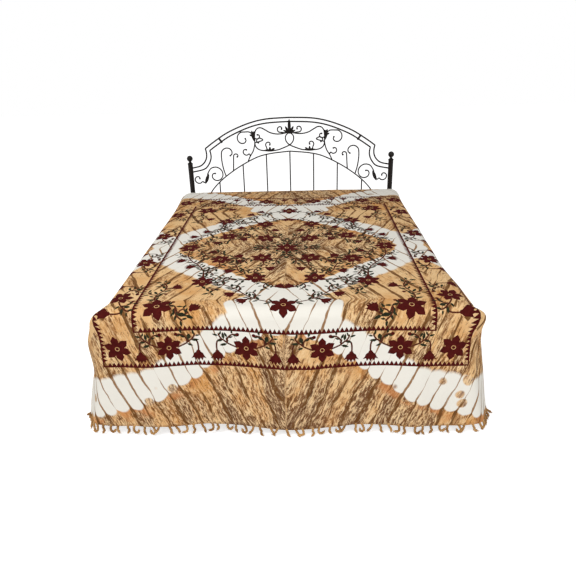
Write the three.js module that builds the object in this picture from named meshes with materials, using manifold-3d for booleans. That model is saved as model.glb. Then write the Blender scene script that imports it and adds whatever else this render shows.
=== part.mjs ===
// Batik bedspread on an iron bed.
// Frame: millimetres, +Z up, +Y from the foot of the bed to its head, X across it. The floor is z = 0.
import * as THREE from "three";
import { mergeVertices } from "three/addons/utils/BufferGeometryUtils.js";
import Module from "manifold-3d";

const wasm = await Module();
wasm.setup();

// ---------------------------------------------------------------- driving dimensions
const CLOTH_WIDTH = 2290;
const CLOTH_LENGTH = 2740;
const CLOTH_THICKNESS = 2;
const BED_TOP = 660;              // top face of the cloth on the mattress
const MATTRESS_WIDTH = 1530;
const MATTRESS_LENGTH = 2030;
const MATTRESS_HEIGHT = 265;
const MATTRESS_EDGE = 35;         // rounding of its top and bottom edges
const MATTRESS_CORNER = 70;       // rounding of its corners, seen from above
const SIDE_CLEARANCE = 40;        // from the mattress side to the hanging cloth
const END_CLEARANCE = 25;         // from the mattress foot and head to the hanging cloth
const FOLD_RADIUS = 50;           // of the cloth over the edge of the bed
const FOOT_OVERHANG = 634;        // cloth beyond the flat top, at the foot
const TOUCH_GAP = 0.3;            // between pieces that meet

const TASSEL_PITCH = 40;
const TASSEL_WIDTH = 9;
const TASSEL_LENGTH = 58;
const TASSEL_THICKNESS = 3.5;
const FRINGE_HEADING = 8;         // depth of the band of knots above the free tassels
const FOOT_FRINGE_GAP = 1.6;      // from the hem to the heading
const HEAD_FRINGE_GAP = 9.5;      // more, because the hem turns sharply there
const FLOOR_CLEARANCE = 4;        // of the lowest cloth, to the middle of its thickness

const RAIL_HEIGHT = 50;
const RAIL_WIDTH = 30;
const SLAT_THICKNESS = 18;
const SLAT_WIDTH = 75;
const SLAT_COUNT = 9;
const LEG_RADIUS = 17;

// Worked out from them
const UNDERLAY = CLOTH_THICKNESS + TOUCH_GAP;
const CLOTH_MIDDLE = BED_TOP - CLOTH_THICKNESS / 2;
const HALF_X = MATTRESS_WIDTH / 2 + SIDE_CLEARANCE - FOLD_RADIUS;      // where the flat top ends, at each side
const HALF_Y = MATTRESS_LENGTH / 2 + END_CLEARANCE - FOLD_RADIUS;      // and at the foot and head
const SIDE_OVERHANG = CLOTH_WIDTH / 2 - HALF_X;
const HEAD_OVERHANG = CLOTH_LENGTH - FOOT_OVERHANG - 2 * HALF_Y;
const MATTRESS_TOP = BED_TOP - UNDERLAY;
const MATTRESS_BOTTOM = MATTRESS_TOP - MATTRESS_HEIGHT;
const SLAT_BOTTOM = MATTRESS_BOTTOM - TOUCH_GAP - SLAT_THICKNESS;
const RAIL_TOP = SLAT_BOTTOM - TOUCH_GAP;
const RAIL_MIDDLE = RAIL_TOP - RAIL_HEIGHT / 2;
const HEADBOARD_Y = MATTRESS_LENGTH / 2 + 70;
const POST_X = MATTRESS_WIDTH / 2;

const MATERIALS = {
  batik: new THREE.MeshStandardMaterial({ color: 0xd2a56a, roughness: 0.95, metalness: 0 }),
  fringe: new THREE.MeshStandardMaterial({ color: 0xb98d5c, roughness: 0.95, metalness: 0 }),
  ticking: new THREE.MeshStandardMaterial({ color: 0xe9e6de, roughness: 0.9, metalness: 0 }),
  iron: new THREE.MeshStandardMaterial({ color: 0x2b211c, roughness: 0.5, metalness: 0.6 }),
  pine: new THREE.MeshStandardMaterial({ color: 0xc9a06a, roughness: 0.7, metalness: 0 }),
};

const bed = new THREE.Group();

function add(name, geometry, material) {
  geometry.deleteAttribute("uv");
  geometry.deleteAttribute("normal");
  const merged = mergeVertices(geometry, 1e-3);
  merged.computeVertexNormals();
  const mesh = new THREE.Mesh(merged, material);
  mesh.name = name;
  bed.add(mesh);
  return mesh;
}

// ---------------------------------------------------------------- how the cloth hangs
// A point of the flat cloth is (u, v): u across it from the middle of the bed, and v along it, measured from the middle
// of the flat top towards the head. Past the flat top it rolls over the edge of the bed and hangs. Past two edges at once,
// at a corner, it fans out from that corner: each ray of the fan leans by a little more, out and back along the side,
// then comes forward again under itself.
const FAN = [
  // ray, degrees round from the end of the bed; lean outwards and back along the side, per unit of length hung
  { ray: 0, out: 0, back: 0 },
  { ray: 8, out: 0.14, back: 0 },
  { ray: 16, out: 0.25, back: 0.04 },
  { ray: 24, out: 0.27, back: 0.17 },
  { ray: 32, out: 0.26, back: 0.32 },
  { ray: 40, out: 0.22, back: 0.46 },
  { ray: 46, out: 0.16, back: 0.54 },
  { ray: 50, out: 0.1, back: 0.55 },
  { ray: 55, out: 0.07, back: 0.47 },
  { ray: 63, out: 0.055, back: 0.33 },
  { ray: 72, out: 0.05, back: 0.17 },
  { ray: 80, out: 0.045, back: 0.03 },
  { ray: 85, out: 0.03, back: -0.03 },
  { ray: 88, out: 0.01, back: -0.03 },
  { ray: 90, out: 0, back: 0 },
];

// The cloth stands out in an ear at each corner: how much wider it rolls over the edge at the ear's crest and where the
// side begins, how far along the side that reaches, and how far round the ear is turned, in degrees.
const EARS = {
  footLeft: { crest: 58, side: 45, reach: 60, turn: 22 },
  footRight: { crest: 72, side: 60, reach: 520, turn: 22 },
  headLeft: { crest: 45, side: 30, reach: 550, turn: 24 },
  headRight: { crest: 22, side: 12, reach: 300, turn: 24 },
};
const EAR_RAYS = [8, 50];         // degrees: where the ear begins, and its crest

// Bulges down a corner's fan: how far down it hangs, how wide, and how far out sideways.
const BULGES = {
  footLeft: [{ at: 300, width: 100, depth: 30 }, { at: 680, width: 220, depth: 24 }],
  footRight: [{ at: 140, width: 50, depth: 14 }, { at: 270, width: 80, depth: -10 }],
  headLeft: [],
  headRight: [],
};

// Soft folds in the hanging cloth: where each is along its edge, how wide, and how far out its foot stands.
const FOOT_FOLDS = [
  { at: -560, width: 90, depth: 12 },
  { at: -300, width: 120, depth: -9 },
  { at: 0, width: 170, depth: 16 },
  { at: 330, width: 110, depth: -8 },
  { at: 590, width: 80, depth: 14 },
];
const LEFT_FOLDS = [
  { at: -690, width: 70, depth: 14 },
  { at: -430, width: 80, depth: 20 },
  { at: -160, width: 60, depth: -10 },
  { at: 60, width: 90, depth: 22 },
  { at: 330, width: 70, depth: -9 },
  { at: 540, width: 80, depth: 18 },
  { at: 820, width: 60, depth: 12 },
];
const RIGHT_FOLDS = [
  { at: -740, width: 80, depth: 20 },
  { at: -500, width: 60, depth: -8 },
  { at: -290, width: 90, depth: 24 },
  { at: 0, width: 70, depth: 10 },
  { at: 210, width: 80, depth: -10 },
  { at: 450, width: 90, depth: 20 },
  { at: 760, width: 80, depth: 15 },
];
const HEAD_FOLDS = [
  { at: -420, width: 120, depth: 3 },
  { at: 150, width: 140, depth: 3 },
];

function foldAt(folds, place) {
  return folds.reduce((sum, f) => sum + f.depth * Math.exp(-(((place - f.at) / f.width) ** 2)), 0);
}

// The roll over an edge: how far out and how far down a point is, `hung` past the flat top.
function overEdge(hung, radius = FOLD_RADIUS) {
  const turn = Math.min(Math.max(hung, 0) / radius, Math.PI / 2);
  const straight = Math.max(hung - (radius * Math.PI) / 2, 0);
  return { out: radius * Math.sin(turn), down: radius * (1 - Math.cos(turn)) + straight };
}

// Catmull-Rom value of one column of the fan table at a ray.
function fanValue(column, ray) {
  const last = FAN.length - 1;
  let i = 0;
  while (i < last - 1 && FAN[i + 1].ray < ray) i += 1;
  const row = (k) => FAN[Math.min(Math.max(k, 0), last)];
  const slope = (k) => (row(k + 1)[column] - row(k - 1)[column]) / Math.max(row(k + 1).ray - row(k - 1).ray, 1);
  const span = row(i + 1).ray - row(i).ray;
  const t = (ray - row(i).ray) / span;
  return (
    row(i)[column] * (2 * t ** 3 - 3 * t ** 2 + 1) +
    row(i + 1)[column] * (3 * t ** 2 - 2 * t ** 3) +
    slope(i) * span * (t ** 3 - 2 * t ** 2 + t) +
    slope(i + 1) * span * (t ** 3 - t ** 2)
  );
}

const FAN_START = 62;             // the fan opens this far from its corner
const FAN_SOFTNESS = 24;
const FLOOR_SOFTNESS = 12;        // how gradually the cloth turns to lie on the floor
const FLOOR_SLIDE = 0.8;          // how much of what meets the floor moves outwards along it

// The cloth is laid a little askew: each column of it lies this much nearer the foot than it would if laid true.
function slip(u) {
  return 12 * Math.exp(-((u / 260) ** 2)) + 7 * Math.sin(u / 330) + 5 * Math.sin(u / 117 + 1);
}

// The length of cloth beyond the flat top, at the foot (end -1) or the head (end 1).
function overhang(end, u) {
  return end < 0 ? FOOT_OVERHANG + slip(u) : HEAD_OVERHANG - slip(u);
}

function drape(u, v) {
  const side = Math.sign(u) || 1;
  const end = Math.sign(v) || 1;               // -1 at the foot, 1 at the head
  const hungU = Math.abs(u) - HALF_X;
  const hungV = Math.abs(v) - HALF_Y;
  let x = Math.abs(u);
  let y = Math.abs(v);
  let z = 0;
  const corner = (end < 0 ? "foot" : "head") + (side < 0 ? "Left" : "Right");
  const ear = EARS[corner];
  if (hungU <= 0 && hungV > 0) {
    const roll = overEdge(hungV);
    y = HALF_Y + roll.out;
    z = -roll.down;
  } else if (hungU > 0 && hungV <= 0) {
    const roll = overEdge(hungU, FOLD_RADIUS + ear.side * (1 - THREE.MathUtils.smoothstep(-hungV, 0, ear.reach)));
    x = HALF_X + roll.out;
    z = -roll.down;
  } else if (hungU > 0) {
    const hung = Math.hypot(hungU, hungV);
    const angle = Math.atan2(hungU, hungV);
    const ray = THREE.MathUtils.radToDeg(angle);
    const rise = THREE.MathUtils.smoothstep(ray, ...EAR_RAYS);
    const fall = THREE.MathUtils.smoothstep(ray, EAR_RAYS[1], 90);
    const roll = overEdge(hung, FOLD_RADIUS + ear.crest * rise + (ear.side - ear.crest) * fall);
    const plan = angle + THREE.MathUtils.degToRad(ear.turn) * rise * (1 - fall);
    const out = fanValue("out", ray);
    const back = fanValue("back", ray);
    const lean = Math.hypot(out, back, 1);
    const past = hung - FAN_START;
    const open = (past + Math.hypot(past, FAN_SOFTNESS)) / 2 - (Math.hypot(FAN_START, FAN_SOFTNESS) - FAN_START) / 2;
    const bulge = foldAt(BULGES[corner], hung) * rise * (1 - fall);
    x = HALF_X + roll.out * Math.sin(plan) + (open * out) / lean + bulge;
    y = HALF_Y + roll.out * Math.cos(plan) - (open * back) / lean;
    z = -roll.down + open * (1 - 1 / lean);
  }
  const sideShare = THREE.MathUtils.smoothstep(hungU, 0, SIDE_OVERHANG);
  const endShare = THREE.MathUtils.smoothstep(hungV, 0, FOOT_OVERHANG);
  if (hungU > 0 && hungV < 0) {
    const away = THREE.MathUtils.smoothstep(-hungV, 0, 160);
    x += foldAt(side < 0 ? LEFT_FOLDS : RIGHT_FOLDS, v) * sideShare * away;
  }
  if (hungV > 0 && hungU < 0) {
    const away = THREE.MathUtils.smoothstep(-hungU, 0, 160);
    y += foldAt(end < 0 ? FOOT_FOLDS : HEAD_FOLDS, u) * endShare * away;
  }
  // what would go through the floor lies on it, pushed outwards
  const over = FLOOR_CLEARANCE - (CLOTH_MIDDLE + z);
  const lifted = (over + Math.hypot(over, FLOOR_SOFTNESS)) / 2;
  const slide = new THREE.Vector2(Math.max(x - HALF_X, 0), Math.max(y - HALF_Y, 0)).normalize();
  x += lifted * FLOOR_SLIDE * slide.x;
  y += lifted * FLOOR_SLIDE * slide.y;
  return new THREE.Vector3(side * x, end * y, CLOTH_MIDDLE + z + lifted);
}

// ---------------------------------------------------------------- sheets of cloth
// A closed sheet from points of the flat cloth and the triangles between them: both faces, and a rim along each open edge.
function sheet(points, triangles, thickness) {
  const middle = points.map(([u, v]) => drape(u, v));
  const normals = middle.map(() => new THREE.Vector3());
  const edges = new Map();
  for (const [a, b, c] of triangles) {
    const face = new THREE.Vector3()
      .subVectors(middle[b], middle[a])
      .cross(new THREE.Vector3().subVectors(middle[c], middle[a]));
    for (const i of [a, b, c]) normals[i].add(face);
    for (const [i, j] of [[a, b], [b, c], [c, a]]) {
      if (!edges.delete(`${j} ${i}`)) edges.set(`${i} ${j}`, [i, j]);
    }
  }
  const position = [];
  for (const side of [1, -1]) {
    middle.forEach((p, i) => {
      position.push(...p.clone().addScaledVector(normals[i].clone().normalize(), (side * thickness) / 2));
    });
  }
  const n = points.length;
  const index = [];
  for (const [a, b, c] of triangles) index.push(a, b, c, c + n, b + n, a + n);
  for (const [i, j] of edges.values()) index.push(i, i + n, j, j, i + n, j + n);
  const geometry = new THREE.BufferGeometry();
  geometry.setAttribute("position", new THREE.Float32BufferAttribute(position, 3));
  geometry.setIndex(index);
  return geometry;
}

// A net of flat points: adds quads between rows of points, sharing the points that coincide.
function flatNet() {
  const points = [];
  const triangles = [];
  const seen = new Map();
  const point = (u, v) => {
    const key = `${u.toFixed(2)} ${v.toFixed(2)}`;
    if (!seen.has(key)) {
      seen.set(key, points.length);
      points.push([u, v]);
    }
    return seen.get(key);
  };
  const quad = (...corners) => {
    const [a, b, c, d] = corners.map(([u, v]) => point(u, v));
    if (a !== b && b !== c && a !== c) triangles.push([a, b, c]);
    if (a !== c && c !== d && a !== d) triangles.push([a, c, d]);
  };
  return { points, triangles, quad };
}

const HANG_STEPS = [0, 0.035, 0.07, 0.105, 0.14, 0.22, 0.36, 0.54, 0.76, 1];        // shares of an overhang
const FAN_RAYS = [0, 9, 18, 26, 34, 41, 46, 50, 55, 63, 72, 80, 85.5, 90];          // degrees
const TIP_SNAP = 0.05;            // a ray this close to the cloth's own corner runs through it, in radians
const TOP_COLUMNS = 12;
const TOP_ROWS = 16;

// A strip of quads hanging from the edge of the bed to the hem, between two lines down the cloth.
function strip(net, turned, first, second) {
  for (let i = 0; i + 1 < HANG_STEPS.length; i += 1) {
    const ring = [first(HANG_STEPS[i]), second(HANG_STEPS[i]), second(HANG_STEPS[i + 1]), first(HANG_STEPS[i + 1])];
    net.quad(...(turned ? ring.reverse() : ring));
  }
}

// Where a ray of a corner's fan meets the hem: how far past the flat top sideways and endways.
function fanRim(side, end, angle, tip) {
  if (angle > tip) return [SIDE_OVERHANG, SIDE_OVERHANG / Math.tan(angle)];
  const past = overhang(end, side * HALF_X) * Math.tan(angle);
  return [past, overhang(end, side * (HALF_X + past))];
}

function bedspread() {
  const net = flatNet();
  const across = Array.from({ length: TOP_COLUMNS + 1 }, (_, i) => HALF_X * ((2 * i) / TOP_COLUMNS - 1));
  const along = Array.from({ length: TOP_ROWS + 1 }, (_, i) => HALF_Y * ((2 * i) / TOP_ROWS - 1));
  const grid = (us, vs) => {
    for (let i = 0; i + 1 < us.length; i += 1) {
      for (let j = 0; j + 1 < vs.length; j += 1) {
        net.quad([us[i], vs[j]], [us[i + 1], vs[j]], [us[i + 1], vs[j + 1]], [us[i], vs[j + 1]]);
      }
    }
  };
  const right = HANG_STEPS.map((share) => HALF_X + share * SIDE_OVERHANG);
  const left = right.map((u) => -u).reverse();
  grid(across, along);
  grid(right, along);
  grid(left, along);
  for (const end of [-1, 1]) {
    const hung = (u, share) => [u, end * (HALF_Y + share * overhang(end, u))];
    for (let i = 0; i + 1 < across.length; i += 1) {
      strip(net, end < 0, (share) => hung(across[i], share), (share) => hung(across[i + 1], share));
    }
    for (const side of [-1, 1]) {
      const tip = Math.atan2(SIDE_OVERHANG, overhang(end, side * HALF_X));
      const rim = FAN_RAYS.map((ray) => THREE.MathUtils.degToRad(ray))
        .map((angle) => (Math.abs(angle - tip) < TIP_SNAP ? tip : angle))
        .map((angle) => fanRim(side, end, angle, tip));
      const hungRay = ([past, down], share) => [side * (HALF_X + share * past), end * (HALF_Y + share * down)];
      for (let k = 0; k + 1 < rim.length; k += 1) {
        strip(net, side * end < 0, (share) => hungRay(rim[k], share), (share) => hungRay(rim[k + 1], share));
      }
    }
  }
  return sheet(net.points, net.triangles, CLOTH_THICKNESS);
}

// A comb of tassels just beyond an end of the cloth: a narrow heading, and a tassel at each knot.
function fringe(end, gap, tasselRows, swing) {
  const net = flatNet();
  const count = Math.floor(CLOTH_WIDTH / TASSEL_PITCH);
  const edges = [];
  for (let k = 0; k < count; k += 1) {
    const middle = (k - (count - 1) / 2) * TASSEL_PITCH;
    edges.push(middle - TASSEL_WIDTH / 2, middle + TASSEL_WIDTH / 2);
  }
  const piece = (i, j, from, to) => {
    const point = (u, row) => [u + row.sway, end * (HALF_Y + overhang(end, u) + gap + row.past)];
    const corners = [point(edges[i], from), point(edges[j], from), point(edges[j], to), point(edges[i], to)];
    net.quad(...(end > 0 ? corners : corners.reverse()));
  };
  for (let i = 0; i + 1 < edges.length; i += 1) {
    piece(i, i + 1, { past: 0, sway: 0 }, { past: FRINGE_HEADING, sway: 0 });
  }
  for (let k = 0; k < count; k += 1) {
    const row = (step) => ({
      past: FRINGE_HEADING + ((TASSEL_LENGTH - FRINGE_HEADING) * step) / tasselRows,
      sway: swing * Math.sin(2.4 * k) * (step / tasselRows) ** 2,
    });
    for (let step = 0; step < tasselRows; step += 1) piece(2 * k, 2 * k + 1, row(step), row(step + 1));
  }
  return sheet(net.points, net.triangles, TASSEL_THICKNESS);
}

add("bedspread", bedspread(), MATERIALS.batik);
add("foot_fringe", fringe(-1, FOOT_FRINGE_GAP, 3, 14), MATERIALS.fringe);
add("head_fringe", fringe(1, HEAD_FRINGE_GAP, 1, 0), MATERIALS.fringe);

// ---------------------------------------------------------------- mattress, slats and rails
function mattress() {
  const x = MATTRESS_WIDTH / 2 - MATTRESS_EDGE;
  const y = MATTRESS_LENGTH / 2 - MATTRESS_EDGE;
  const r = MATTRESS_CORNER - MATTRESS_EDGE;
  const outline = new THREE.Shape();
  outline.absarc(x - r, y - r, r, 0, Math.PI / 2);
  outline.absarc(-x + r, y - r, r, Math.PI / 2, Math.PI);
  outline.absarc(-x + r, -y + r, r, Math.PI, 1.5 * Math.PI);
  outline.absarc(x - r, -y + r, r, 1.5 * Math.PI, 2 * Math.PI);
  const geometry = new THREE.ExtrudeGeometry(outline, {
    depth: MATTRESS_HEIGHT - 2 * MATTRESS_EDGE,
    bevelThickness: MATTRESS_EDGE,
    bevelSize: MATTRESS_EDGE,
    bevelSegments: 3,
    curveSegments: 3,
  });
  return geometry.translate(0, 0, MATTRESS_BOTTOM + MATTRESS_EDGE);
}
add("mattress", mattress(), MATERIALS.ticking);

function box(name, size, centre, material) {
  add(name, new THREE.BoxGeometry(...size), material).position.set(...centre);
}

const LEG_Y = -(MATTRESS_LENGTH / 2 - 60);
const RAIL_X = MATTRESS_WIDTH / 2 - 40;
const RAIL_FROM = LEG_Y + LEG_RADIUS + TOUCH_GAP;
const CROSS_RAIL_RADIUS = 12;
const RAIL_TO = HEADBOARD_Y - CROSS_RAIL_RADIUS - TOUCH_GAP;
for (const [word, side] of [["left", -1], ["right", 1]]) {
  box(`side_rail_${word}`, [RAIL_WIDTH, RAIL_TO - RAIL_FROM, RAIL_HEIGHT],
    [side * RAIL_X, (RAIL_FROM + RAIL_TO) / 2, RAIL_MIDDLE], MATERIALS.iron);
}
for (let i = 0; i < SLAT_COUNT; i += 1) {
  const y = THREE.MathUtils.lerp(LEG_Y + 90, MATTRESS_LENGTH / 2 - 60, i / (SLAT_COUNT - 1));
  box(`slat_${i + 1}`, [2 * RAIL_X + RAIL_WIDTH, SLAT_WIDTH, SLAT_THICKNESS],
    [0, y, SLAT_BOTTOM + SLAT_THICKNESS / 2], MATERIALS.pine);
}

// ---------------------------------------------------------------- iron frame and headboard
// The headboard is drawn in its own plane: x out from the middle of the bed, z up from the top of the cloth.
const POST_RADIUS = 17;
const RAIL_ROD = 5;               // radius of the two arched rails
const SCROLL_ROD = 3.8;           // radius of the scrolls and spindles
const BALL_RADIUS = 7;            // at the end of a scroll
const LEAF_THICKNESS = 11;
const POST_TOP = 208;
const HEAD_RAIL_Z = -75;          // the round rail that the spindles stand on

const OUTER_ARCH = [[0, 529], [174, 521], [310, 491], [456, 433], [560, 371], [640, 315]];
const OUTER_SWEEP = [[640, 315], [634, 285], [636, 248], [654, 212], [690, 184], [748, 171]];
const INNER_ARCH = [[0, 500], [170, 492], [300, 464], [446, 404], [540, 346], [607, 300]];
const INNER_SWEEP = [[607, 300], [601, 272], [603, 238], [622, 196], [660, 160], [748, 140]];
const PILLOW_ARCH = [[0, 283], [153, 267], [261, 238], [400, 166], [520, 82], [600, 5], [650, -70]];
const SPINDLES = [0, 179, 360, 548];

// Each scroll: points that lead in to it, then a spiral round a centre, from an angle through a turn (degrees), its
// radius going from wide to tight, with a ball at its tip.
const SCROLLS = {
  post: [
    { lead: [[652, 66], [668, 56]], centre: [709, 84], from: 215, turn: 300, wide: 34, tight: 9 },
    { lead: [[640, 112]], centre: [574, 114], from: 15, turn: 415, wide: 62, tight: 12 },
  ],
  side: [
    { lead: [[497, 106], [512, 160], [520, 215]], centre: [470, 270], from: -10, turn: 225, wide: 52, tight: 20 },
  ],
  inner: [
    { lead: [[436, 146], [432, 200]], centre: [408, 252], from: -5, turn: 215, wide: 21, tight: 8 },
  ],
  crown: [
    { lead: [[276, 412], [300, 430]], centre: [346, 382], from: 105, turn: -285, wide: 51, tight: 14 },
    { lead: [[300, 254]], centre: [330, 288], from: 222, turn: 235, wide: 29, tight: 12 },
    { lead: [[264, 384]], centre: [243, 400], from: 270, turn: -160, wide: 22, tight: 9 },
    { lead: [[261, 350]], centre: [229, 358], from: 160, turn: -215, wide: 28, tight: 10 },
    { lead: [[170, 297]], centre: [158, 334], from: -40, turn: 225, wide: 24, tight: 8 },
    { lead: [[30, 418], [52, 422]], centre: [66, 446], from: -60, turn: 235, wide: 24, tight: 8 },
  ],
};
const STRANDS = [
  [[262, 396], [257, 430], [240, 454], [213, 459], [182, 444], [145, 423], [100, 412], [55, 413], [4, 424]],
  [[263, 352], [256, 322], [236, 302], [205, 292], [152, 290], [98, 293], [50, 308], [0, 330], [-25, 356],
    [-31, 384], [-24, 404], [-4, 420]],
];
const STEM = [[262, 360], [265, 330], [278, 288], [303, 248], [322, 206]];

// Leaves: middle, half length and half width, the angle at which they point, and how far they stand in front.
const LEAVES = {
  post: [{ at: [645, 85], long: 44, wide: 11, angle: 112 }],
  crown: [
    { at: [272, 398], long: 46, wide: 12, angle: 76 },
    { at: [268, 424], long: 18, wide: 7, angle: 140 },
    { at: [284, 404], long: 18, wide: 7, angle: 20 },
    { at: [152, 292], long: 52, wide: 9, angle: 0 },
    { at: [150, 304], long: 17, wide: 8, angle: 90 },
    { at: [128, 300], long: 18, wide: 6, angle: 150 },
  ],
  middle: [
    { at: [0, 466], long: 56, wide: 11, angle: 90, front: 7 },
    { at: [18, 442], long: 30, wide: 9, angle: 62 },
    { at: [-18, 442], long: 30, wide: 9, angle: 118 },
    { at: [24, 428], long: 26, wide: 8, angle: 25 },
    { at: [-24, 428], long: 26, wide: 8, angle: 155 },
    { at: [0, 420], long: 22, wide: 9, angle: 0 },
  ],
};

const onBoard = ([x, z]) => new THREE.Vector3(x, HEADBOARD_Y, BED_TOP + z);

function rod(points, radius, steps, sides = 6) {
  const section = new THREE.Shape();
  section.absarc(0, 0, radius / Math.cos(Math.PI / sides / 2), 0, 2 * Math.PI);
  return new THREE.ExtrudeGeometry(section, {
    extrudePath: new THREE.CatmullRomCurve3(points.map(onBoard)),
    steps,
    curveSegments: sides / 2,
  });
}

function scrollPoints({ lead, centre, from, turn, wide, tight }) {
  const spiral = [];
  const count = Math.ceil(Math.abs(turn) / 42);
  for (let i = 0; i <= count; i += 1) {
    const t = i / count;
    const radius = wide + (tight - wide) * t ** 2;
    const angle = THREE.MathUtils.degToRad(from + turn * t);
    spiral.push([centre[0] + radius * Math.cos(angle), centre[1] + radius * Math.sin(angle)]);
  }
  return [...lead, ...spiral];
}

function leaf({ at, long, wide, angle, front = 0 }) {
  return new THREE.SphereGeometry(1, 6, 4)
    .rotateX(Math.PI / 2)
    .scale(wide, LEAF_THICKNESS / 2, long)
    .rotateY(THREE.MathUtils.degToRad(90 - angle))
    .translate(0, -front, 0)
    .translate(...onBoard(at));
}

function ball(point, radius, detail = 0) {
  return new THREE.IcosahedronGeometry(radius, detail).translate(...onBoard(point));
}

// A closed three.js geometry as a manifold-3d solid, and back.
function solid(geometry) {
  geometry.deleteAttribute("uv");
  geometry.deleteAttribute("normal");
  const { index, attributes } = mergeVertices(geometry, 1e-3);
  const vertProperties = Float32Array.from(attributes.position.array);
  return new wasm.Manifold(new wasm.Mesh({ numProp: 3, vertProperties, triVerts: Uint32Array.from(index.array) }));
}

function surface(manifold) {
  const { vertProperties, triVerts } = manifold.getMesh();
  const geometry = new THREE.BufferGeometry();
  geometry.setAttribute("position", new THREE.BufferAttribute(vertProperties, 3));
  geometry.setIndex(new THREE.BufferAttribute(triVerts, 1));
  return geometry;
}

const mirrored = (list) => list.map(([x, z]) => [-x, z]);
const sides = [["left", mirrored], ["right", (list) => list]];
const join = (geometries) => geometries.map(solid).reduce((whole, piece) => whole.add(piece));

// Welded iron: every piece stops TOUCH_GAP short of the ones fitted before it.
const fitted = [];
function fitIron(name, make) {
  let piece = join(make(0)).simplify(0.25);
  for (const other of fitted) piece = piece.subtract(other);
  const [whole] = piece.decompose().sort((a, b) => b.volume() - a.volume());
  fitted.push(join(make(TOUCH_GAP)));
  add(name, surface(whole), MATERIALS.iron);
}

// Half of an arch, which stops half of TOUCH_GAP short of the middle of the bed. Its clearance reaches past the middle.
const toMiddle = ([[, height], ...rest], gap) => [[TOUCH_GAP / 2 - gap, height], ...rest];

const upright = (x, from, to, radius, y = HEADBOARD_Y) => new THREE.CylinderGeometry(radius, radius, to - from, 16)
  .rotateX(Math.PI / 2)
  .translate(x, y, (from + to) / 2);
const crossbar = (z, reach, radius, y = HEADBOARD_Y) => new THREE.CylinderGeometry(radius, radius, 2 * reach, 12)
  .rotateZ(Math.PI / 2)
  .translate(0, y, z);

for (const [word, side] of [["left", -1], ["right", 1]]) {
  fitIron(`head_post_${word}`, (gap) => [upright(side * POST_X, -gap, BED_TOP + POST_TOP + gap, POST_RADIUS + gap)]);
  fitIron(`finial_${word}`, (gap) => [
    ball([side * POST_X, POST_TOP + 34], 22 + gap, 1),
    upright(side * POST_X, BED_TOP + POST_TOP - gap, BED_TOP + POST_TOP + 16, 10 + gap),
  ]);
}
fitIron("head_rail_upper", (gap) => [crossbar(BED_TOP + HEAD_RAIL_Z, POST_X, 9 + gap)]);
fitIron("head_rail_lower", (gap) => [crossbar(RAIL_MIDDLE, POST_X, CROSS_RAIL_RADIUS + gap)]);
for (const [word, turn] of sides) {
  fitIron(`outer_arch_${word}`, (gap) => [
    rod(turn(toMiddle(OUTER_ARCH, gap)), RAIL_ROD + gap, 11),
    rod(turn(OUTER_SWEEP), RAIL_ROD + gap, 8),
    ball(turn([OUTER_SWEEP[0]])[0], RAIL_ROD + gap),
  ]);
  fitIron(`inner_arch_${word}`, (gap) => [
    rod(turn(toMiddle(INNER_ARCH, gap)), RAIL_ROD + gap, 11),
    rod(turn(INNER_SWEEP), RAIL_ROD + gap, 8),
    ball(turn([INNER_SWEEP[0]])[0], RAIL_ROD + gap),
  ]);
  fitIron(`arch_collar_${word}`, (gap) => [rod(turn([[531, 388], [512, 362]]), 7 + gap, 1)]);
  fitIron(`pillow_arch_${word}`, (gap) => [rod(turn(toMiddle(PILLOW_ARCH, gap)), RAIL_ROD - 1 + gap, 12)]);
}
fitIron("spindle_middle", (gap) => [upright(0, BED_TOP + HEAD_RAIL_Z, BED_TOP + PILLOW_ARCH[0][1], SCROLL_ROD + gap)]);
for (const [word, turn] of sides) {
  SPINDLES.slice(1).forEach((place, i) => {
    fitIron(`spindle_${word}_${i + 1}`, (gap) => [
      upright(turn([[place, 0]])[0][0], BED_TOP + HEAD_RAIL_Z, BED_TOP + archHeight(place), SCROLL_ROD + gap),
    ]);
  });
}

// The height of the pillow arch above a place along it.
function archHeight(x) {
  const i = PILLOW_ARCH.findIndex(([px]) => px > x);
  const [[x0, z0], [x1, z1]] = [PILLOW_ARCH[i - 1], PILLOW_ARCH[i]];
  return z0 + ((z1 - z0) * (x - x0)) / (x1 - x0);
}

const scrollIron = (group, turn, gap) => [
  ...SCROLLS[group].flatMap((scroll) => {
    const points = turn(scrollPoints(scroll));
    return [rod(points, SCROLL_ROD + gap, points.length + 1), ball(points.at(-1), BALL_RADIUS + gap)];
  }),
  ...(LEAVES[group] ?? []).map((item) => {
    const [at] = turn([item.at]);
    return leaf({ ...item, at, angle: at[0] < 0 ? 180 - item.angle : item.angle, long: item.long + gap });
  }),
];
for (const [word, turn] of sides) {
  fitIron(`scroll_post_${word}`, (gap) => scrollIron("post", turn, gap));
  fitIron(`scroll_side_${word}`, (gap) => scrollIron("side", turn, gap));
  fitIron(`scroll_inner_${word}`, (gap) => scrollIron("inner", turn, gap));
}
fitIron("scroll_crown", (gap) => [
  ...LEAVES.middle.map(leaf),
  ball([0, 432], 12),
  ...sides.flatMap(([, turn]) => [
    ...scrollIron("crown", turn, gap),
    ...STRANDS.map((points) => rod(turn(points), SCROLL_ROD + gap, points.length + 2)),
    rod(turn(STEM), SCROLL_ROD + 1 + gap, 5),
  ]),
]);

// Legs and the cross rail at the foot.
for (const [word, side] of [["left", -1], ["right", 1]]) {
  fitIron(`foot_leg_${word}`, (gap) => [upright(side * RAIL_X, -gap, RAIL_TOP, LEG_RADIUS + gap, LEG_Y)]);
}
fitIron("foot_rail", (gap) => [crossbar(RAIL_MIDDLE, RAIL_X, CROSS_RAIL_RADIUS + gap, LEG_Y)]);

// The origin goes to the middle of the floor under the whole bed.
const extent = new THREE.Box3().setFromObject(bed);
const middle = extent.getCenter(new THREE.Vector3());
bed.position.set(-middle.x, -middle.y, 0);

export default bed;
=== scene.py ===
import functools
import math

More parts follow.
